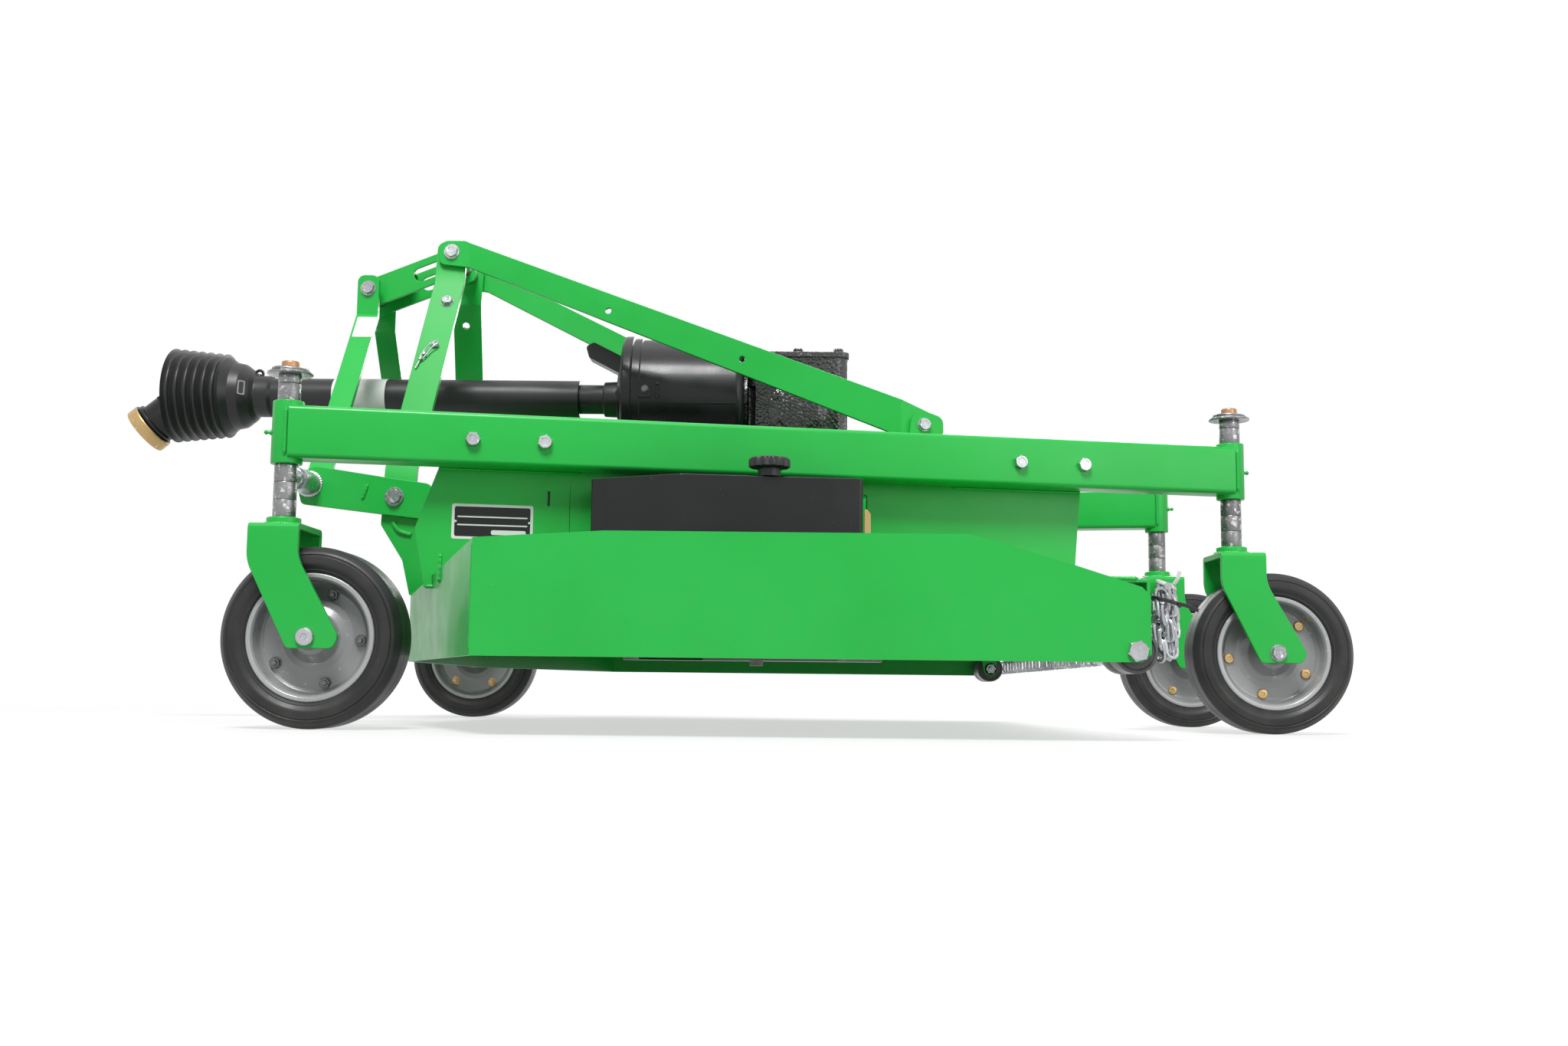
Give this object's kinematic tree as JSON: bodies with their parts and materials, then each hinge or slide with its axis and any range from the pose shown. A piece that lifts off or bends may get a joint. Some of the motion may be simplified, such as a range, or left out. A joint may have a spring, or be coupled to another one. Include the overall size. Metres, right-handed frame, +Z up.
{
  "type": "finishing mower",
  "caption": "Towed three-point finishing mower: rear-discharge deck on caster wheels, with mast, gearbox, driveline and chain curtain.",
  "frame": {"origin": "bottom centre of the bounding box, on the floor the wheels stand on", "axes": "+X forward to the tractor, +Y to the left of travel, +Z up"},
  "size_m": [2.0804, 1.588, 0.8468],
  "materials": {
    "green_paint": "gloss powder coat",
    "cast_black": "gloss paint over rough casting",
    "black_plastic": "satin",
    "black_paint": "satin powder coat",
    "zinc": "zinc plated",
    "steel": "ground steel",
    "gold_zinc": "yellow zinc plating",
    "belt_rubber": "matte",
    "dark_roller": "satin",
    "grey_rim": "satin silver paint",
    "tyre_rubber": "smooth solid rubber"
  },
  "bodies": {
    "root": {"deck_top": "green_paint", "front_wall": "green_paint", "skirt_left": "green_paint", "skirt_right": "green_paint", "side_panel_left": "green_paint", "side_panel_right": "green_paint", "beam_left": "green_paint", "beam_right": "green_paint", "hitch_bracket_left": "green_paint", "hitch_bracket_right": "green_paint", "mast_left": "green_paint", "mast_right": "green_paint", "mast_bolt": "zinc", "brace_left": "green_paint", "brace_right": "green_paint", "gearbox": "cast_black", "gearbox_stand": "green_paint", "gearbox_guard": "black_plastic", "driveline_inner": "black_plastic", "belt_cover_left": "black_paint", "belt_cover_right": "black_paint", "cover_knobs": "black_plastic", "belt": "belt_rubber", "spindle_housings": "black_paint", "chain_curtain": "zinc"},
    "hitch_frame": {"hitch_arm_left": "green_paint", "hitch_arm_right": "green_paint", "hitch_pin_left": "zinc", "hitch_pin_right": "zinc", "top_link_pin": "zinc"},
    "top_link": {"top_link": "green_paint"},
    "driveline_front": {"driveline_guard": "black_plastic"},
    "driveline_yoke": {"driveline_yoke": "gold_zinc"},
    "cutter_left": {"blade_left": "steel", "spindle_left": "steel"},
    "cutter_middle": {"blade_middle": "steel", "spindle_middle": "steel"},
    "cutter_right": {"blade_right": "steel", "spindle_right": "steel"},
    "roller_left": {"roller_left": "dark_roller"},
    "roller_right": {"roller_right": "dark_roller"},
    "caster_front_left": {"fork_front_left": "green_paint"},
    "wheel_front_left": {"rim_front_left": "grey_rim", "tyre_front_left": "tyre_rubber"},
    "caster_front_right": {"fork_front_right": "green_paint"},
    "wheel_front_right": {"rim_front_right": "grey_rim", "tyre_front_right": "tyre_rubber"},
    "caster_rear_left": {"fork_rear_left": "green_paint"},
    "wheel_rear_left": {"rim_rear_left": "grey_rim", "tyre_rear_left": "tyre_rubber"},
    "caster_rear_right": {"fork_rear_right": "green_paint"},
    "wheel_rear_right": {"rim_rear_right": "grey_rim", "tyre_rear_right": "tyre_rubber"}
  },
  "joints": [
    {"name": "hitch_frame_tilt", "type": "hinge", "parent": "root", "child": "hitch_frame", "pos_m": [0.48029, 0, 0.36], "axis": [0, 1, 0], "range_deg": [-9, 0]},
    {"name": "top_link_turn", "type": "hinge", "parent": "hitch_frame", "child": "top_link", "pos_m": [0.60329, 0, 0.761], "axis": [0, 1, 0], "range_deg": [-1, 15]},
    {"name": "driveline_slide", "type": "slide", "parent": "root", "child": "driveline_front", "axis": [1, 0, 0], "range_m": [-0.035, 0.15]},
    {"name": "yoke_bend", "type": "hinge", "parent": "driveline_front", "child": "driveline_yoke", "pos_m": [0.93229, 0, 0.577], "axis": [0, 1, 0], "range_deg": [-75, 0]},
    {"name": "cutter_left_turn", "type": "hinge", "parent": "root", "child": "cutter_left", "pos_m": [-0.07871, 0.502, 0.122], "axis": [0, 0, 1], "continuous": true},
    {"name": "cutter_middle_turn", "type": "hinge", "parent": "root", "child": "cutter_middle", "pos_m": [0.13129, 0, 0.122], "axis": [0, 0, 1], "continuous": true},
    {"name": "cutter_right_turn", "type": "hinge", "parent": "root", "child": "cutter_right", "pos_m": [-0.07871, -0.502, 0.122], "axis": [0, 0, 1], "continuous": true},
    {"name": "roller_left_turn", "type": "hinge", "parent": "root", "child": "roller_left", "pos_m": [-0.58871, 0.73, 0.114], "axis": [0, 1, 0], "continuous": true},
    {"name": "roller_right_turn", "type": "hinge", "parent": "root", "child": "roller_right", "pos_m": [-0.58871, -0.73, 0.114], "axis": [0, 1, 0], "continuous": true},
    {"name": "caster_front_left_swivel", "type": "hinge", "parent": "root", "child": "caster_front_left", "pos_m": [0.57129, 0.5575, 0.4], "axis": [0, 0, 1], "continuous": true},
    {"name": "wheel_front_left_roll", "type": "hinge", "parent": "caster_front_left", "child": "wheel_front_left", "pos_m": [0.51679, 0.5575, 0.127], "axis": [0, 1, 0], "continuous": true},
    {"name": "caster_front_right_swivel", "type": "hinge", "parent": "root", "child": "caster_front_right", "pos_m": [0.57129, -0.5575, 0.4], "axis": [0, 0, 1], "continuous": true},
    {"name": "wheel_front_right_roll", "type": "hinge", "parent": "caster_front_right", "child": "wheel_front_right", "pos_m": [0.51679, -0.5575, 0.127], "axis": [0, 1, 0], "continuous": true},
    {"name": "caster_rear_left_swivel", "type": "hinge", "parent": "root", "child": "caster_rear_left", "pos_m": [-0.85871, 0.256, 0.4], "axis": [0, 0, 1], "continuous": true},
    {"name": "wheel_rear_left_roll", "type": "hinge", "parent": "caster_rear_left", "child": "wheel_rear_left", "pos_m": [-0.91321, 0.256, 0.127], "axis": [0, 1, 0], "continuous": true},
    {"name": "caster_rear_right_swivel", "type": "hinge", "parent": "root", "child": "caster_rear_right", "pos_m": [-0.85871, -0.256, 0.4], "axis": [0, 0, 1], "continuous": true},
    {"name": "wheel_rear_right_roll", "type": "hinge", "parent": "caster_rear_right", "child": "wheel_rear_right", "pos_m": [-0.91321, -0.256, 0.127], "axis": [0, 1, 0], "continuous": true}
  ],
  "couplings": [
    {"joint": "top_link_turn", "follows": "hitch_frame_tilt", "ratio": -1.58},
    {"joint": "cutter_left_turn", "follows": "cutter_middle_turn", "ratio": 1},
    {"joint": "cutter_right_turn", "follows": "cutter_middle_turn", "ratio": 1}
  ]
}
